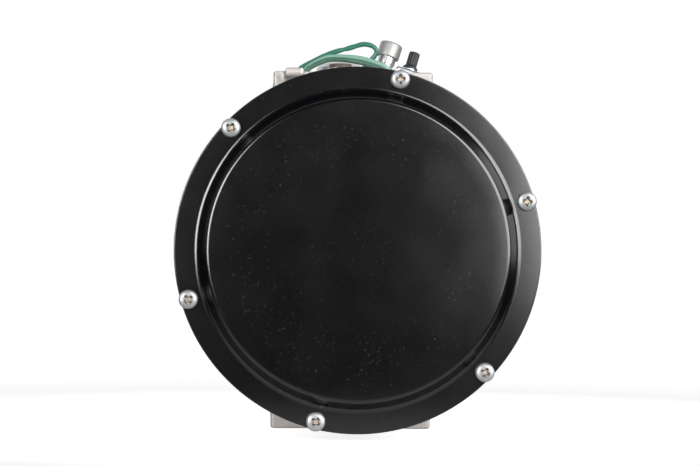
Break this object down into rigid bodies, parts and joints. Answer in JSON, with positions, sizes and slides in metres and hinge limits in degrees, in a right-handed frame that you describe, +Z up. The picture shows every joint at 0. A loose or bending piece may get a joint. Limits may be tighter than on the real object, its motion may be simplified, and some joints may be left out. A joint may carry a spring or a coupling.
{
  "type": "swash plate refrigerant compressor",
  "caption": "Belt-driven axial-piston refrigerant compressor with magnetic clutch, round dust cover and through-bolted mounting lugs.",
  "frame": {"origin": "centre of the four mounting holes, on the shaft axis", "axes": "+Z up, shaft along Y with the clutch and dust cover at -Y, +X along the mounting holes, to the right when facing the cover"},
  "size_m": [0.152, 0.2348, 0.177],
  "materials": {
    "cast_aluminium": "as cast",
    "machined_aluminium": "machined",
    "piston_alloy": "machined, coated heads",
    "black_paint": "satin black",
    "pulley_paint": "semi-matt black",
    "zinc_steel": "bright zinc",
    "bearing_steel": "ground",
    "shaft_steel": "ground",
    "swash_iron": "machined",
    "shoe_steel": "polished",
    "gasket_rubber": "matt",
    "coil_resin": "potted",
    "green_wire": "soft gloss",
    "tan_plug": "moulded",
    "black_plastic": "fluted"
  },
  "bodies": {
    "casing": {"front_head": "cast_aluminium", "front_cylinder_block": "cast_aluminium", "block_gasket": "gasket_rubber", "rear_cylinder_block": "cast_aluminium", "rear_head": "cast_aluminium", "front_valve_plate": "shaft_steel", "rear_valve_plate": "shaft_steel", "suction_reeds": "shaft_steel", "discharge_reeds": "shaft_steel", "head_gaskets": "gasket_rubber", "through_bolts": "zinc_steel", "relief_valve": "zinc_steel", "shaft_needle_bearings": "bearing_steel", "shaft_seal": "gasket_rubber", "field_coil_housing": "pulley_paint", "field_coil_winding": "coil_resin", "snap_rings": "zinc_steel", "bearing_inner_race": "bearing_steel", "coil_lead_wires": "green_wire", "port_block": "machined_aluminium", "port_block_screws": "zinc_steel", "port_plugs": "tan_plug", "service_valve": "zinc_steel", "service_valve_cap": "machined_aluminium", "purge_valve": "zinc_steel", "valve_bracket": "zinc_steel", "purge_valve_cap": "black_plastic"},
    "pulley_group": {"pulley": "pulley_paint", "dust_cover": "black_paint", "dust_cover_screws": "zinc_steel", "bearing_outer_race": "bearing_steel", "outer_race_snap_ring": "zinc_steel"},
    "ball_cage": {"bearing_balls": "bearing_steel", "bearing_cage": "bearing_steel"},
    "shaft_group": {"shaft": "shaft_steel", "swash_hub": "swash_iron", "swash_hub_plate": "shaft_steel", "swash_needle_bearings": "bearing_steel", "shaft_thrust_bearings": "bearing_steel", "clutch_hub": "pulley_paint", "hub_nut": "zinc_steel", "leaf_springs": "shaft_steel"},
    "armature": {"armature_plate": "shaft_steel", "armature_rivets": "shaft_steel"},
    "wobble_ring": {"swash_ring": "swash_iron"},
    "front_shoe_body_1": {"front_shoe_1": "shoe_steel"},
    "rear_shoe_body_1": {"rear_shoe_1": "shoe_steel"},
    "piston_body_1": {"piston_1": "piston_alloy"},
    "front_shoe_body_2": {"front_shoe_2": "shoe_steel"},
    "rear_shoe_body_2": {"rear_shoe_2": "shoe_steel"},
    "piston_body_2": {"piston_2": "piston_alloy"},
    "front_shoe_body_3": {"front_shoe_3": "shoe_steel"},
    "rear_shoe_body_3": {"rear_shoe_3": "shoe_steel"},
    "piston_body_3": {"piston_3": "piston_alloy"},
    "front_shoe_body_4": {"front_shoe_4": "shoe_steel"},
    "rear_shoe_body_4": {"rear_shoe_4": "shoe_steel"},
    "piston_body_4": {"piston_4": "piston_alloy"},
    "front_shoe_body_5": {"front_shoe_5": "shoe_steel"},
    "rear_shoe_body_5": {"rear_shoe_5": "shoe_steel"},
    "piston_body_5": {"piston_5": "piston_alloy"}
  },
  "joints": [
    {"name": "pulley_spin", "type": "hinge", "parent": "casing", "child": "pulley_group", "pos_m": [0, -0.1004, 0], "axis": [0, 1, 0], "continuous": true},
    {"name": "ball_cage_spin", "type": "hinge", "parent": "casing", "child": "ball_cage", "pos_m": [0, -0.1004, 0], "axis": [0, 1, 0], "continuous": true},
    {"name": "shaft_spin", "type": "hinge", "parent": "casing", "child": "shaft_group", "pos_m": [0, 0, 0], "axis": [0, 1, 0], "continuous": true},
    {"name": "armature_pull_in", "type": "slide", "parent": "shaft_group", "child": "armature", "axis": [0, 1, 0], "range_m": [0, 0.0005], "stiffness_N_per_m": 60000, "deforming": ["leaf_springs"]},
    {"name": "wobble_ring_roll", "type": "hinge", "parent": "shaft_group", "child": "wobble_ring", "pos_m": [0, 0, 0], "axis": [0, 0.9563, 0.2924], "continuous": true},
    {"name": "front_shoe_1_swivel", "type": "hinge", "parent": "wobble_ring", "child": "front_shoe_body_1", "pos_m": [0, -0.01077, 0.03521], "axis": [0, 0.9563, 0.2924], "continuous": true},
    {"name": "rear_shoe_1_swivel", "type": "hinge", "parent": "front_shoe_body_1", "child": "rear_shoe_body_1", "pos_m": [0, -0.01101, 0.036], "axis": [0, 0.9563, 0.2924], "continuous": true},
    {"name": "piston_1_travel", "type": "hinge", "parent": "rear_shoe_body_1", "child": "piston_body_1", "pos_m": [0, -0.01101, 0.036], "axis": [0, 1, 0], "continuous": true},
    {"name": "front_shoe_2_swivel", "type": "hinge", "parent": "wobble_ring", "child": "front_shoe_body_2", "pos_m": [0.03502, -0.00333, 0.01088], "axis": [0, 0.9563, 0.2924], "continuous": true},
    {"name": "rear_shoe_2_swivel", "type": "hinge", "parent": "front_shoe_body_2", "child": "rear_shoe_body_2", "pos_m": [0.03424, -0.0034, 0.01112], "axis": [0, 0.9563, 0.2924], "continuous": true},
    {"name": "piston_2_travel", "type": "hinge", "parent": "rear_shoe_body_2", "child": "piston_body_2", "pos_m": [0.03424, -0.0034, 0.01112], "axis": [0, 1, 0], "continuous": true},
    {"name": "front_shoe_3_swivel", "type": "hinge", "parent": "wobble_ring", "child": "front_shoe_body_3", "pos_m": [0.02164, 0.00871, -0.02849], "axis": [0, 0.9563, 0.2924], "continuous": true},
    {"name": "rear_shoe_3_swivel", "type": "hinge", "parent": "front_shoe_body_3", "child": "rear_shoe_body_3", "pos_m": [0.02116, 0.0089, -0.02912], "axis": [0, 0.9563, 0.2924], "continuous": true},
    {"name": "piston_3_travel", "type": "hinge", "parent": "rear_shoe_body_3", "child": "piston_body_3", "pos_m": [0.02116, 0.0089, -0.02912], "axis": [0, 1, 0], "continuous": true},
    {"name": "front_shoe_4_swivel", "type": "hinge", "parent": "wobble_ring", "child": "front_shoe_body_4", "pos_m": [-0.02164, 0.00871, -0.02849], "axis": [0, 0.9563, 0.2924], "continuous": true},
    {"name": "rear_shoe_4_swivel", "type": "hinge", "parent": "front_shoe_body_4", "child": "rear_shoe_body_4", "pos_m": [-0.02116, 0.0089, -0.02912], "axis": [0, 0.9563, 0.2924], "continuous": true},
    {"name": "piston_4_travel", "type": "hinge", "parent": "rear_shoe_body_4", "child": "piston_body_4", "pos_m": [-0.02116, 0.0089, -0.02912], "axis": [0, 1, 0], "continuous": true},
    {"name": "front_shoe_5_swivel", "type": "hinge", "parent": "wobble_ring", "child": "front_shoe_body_5", "pos_m": [-0.03502, -0.00333, 0.01088], "axis": [0, 0.9563, 0.2924], "continuous": true},
    {"name": "rear_shoe_5_swivel", "type": "hinge", "parent": "front_shoe_body_5", "child": "rear_shoe_body_5", "pos_m": [-0.03424, -0.0034, 0.01112], "axis": [0, 0.9563, 0.2924], "continuous": true},
    {"name": "piston_5_travel", "type": "hinge", "parent": "rear_shoe_body_5", "child": "piston_body_5", "pos_m": [-0.03424, -0.0034, 0.01112], "axis": [0, 1, 0], "continuous": true}
  ],
  "couplings": [
    {"joint": "ball_cage_spin", "follows": "pulley_spin", "ratio": 0.58889},
    {"joint": "wobble_ring_roll", "follows": "shaft_spin", "ratio": -1},
    {"joint": "front_shoe_1_swivel", "follows": "shaft_spin", "ratio": 2},
    {"joint": "rear_shoe_1_swivel", "follows": "shaft_spin", "ratio": -1},
    {"joint": "piston_1_travel", "follows": "shaft_spin", "ratio": -1},
    {"joint": "front_shoe_2_swivel", "follows": "shaft_spin", "ratio": 2},
    {"joint": "rear_shoe_2_swivel", "follows": "shaft_spin", "ratio": -1},
    {"joint": "piston_2_travel", "follows": "shaft_spin", "ratio": -1},
    {"joint": "front_shoe_3_swivel", "follows": "shaft_spin", "ratio": 2},
    {"joint": "rear_shoe_3_swivel", "follows": "shaft_spin", "ratio": -1},
    {"joint": "piston_3_travel", "follows": "shaft_spin", "ratio": -1},
    {"joint": "front_shoe_4_swivel", "follows": "shaft_spin", "ratio": 2},
    {"joint": "rear_shoe_4_swivel", "follows": "shaft_spin", "ratio": -1},
    {"joint": "piston_4_travel", "follows": "shaft_spin", "ratio": -1},
    {"joint": "front_shoe_5_swivel", "follows": "shaft_spin", "ratio": 2},
    {"joint": "rear_shoe_5_swivel", "follows": "shaft_spin", "ratio": -1},
    {"joint": "piston_5_travel", "follows": "shaft_spin", "ratio": -1}
  ]
}
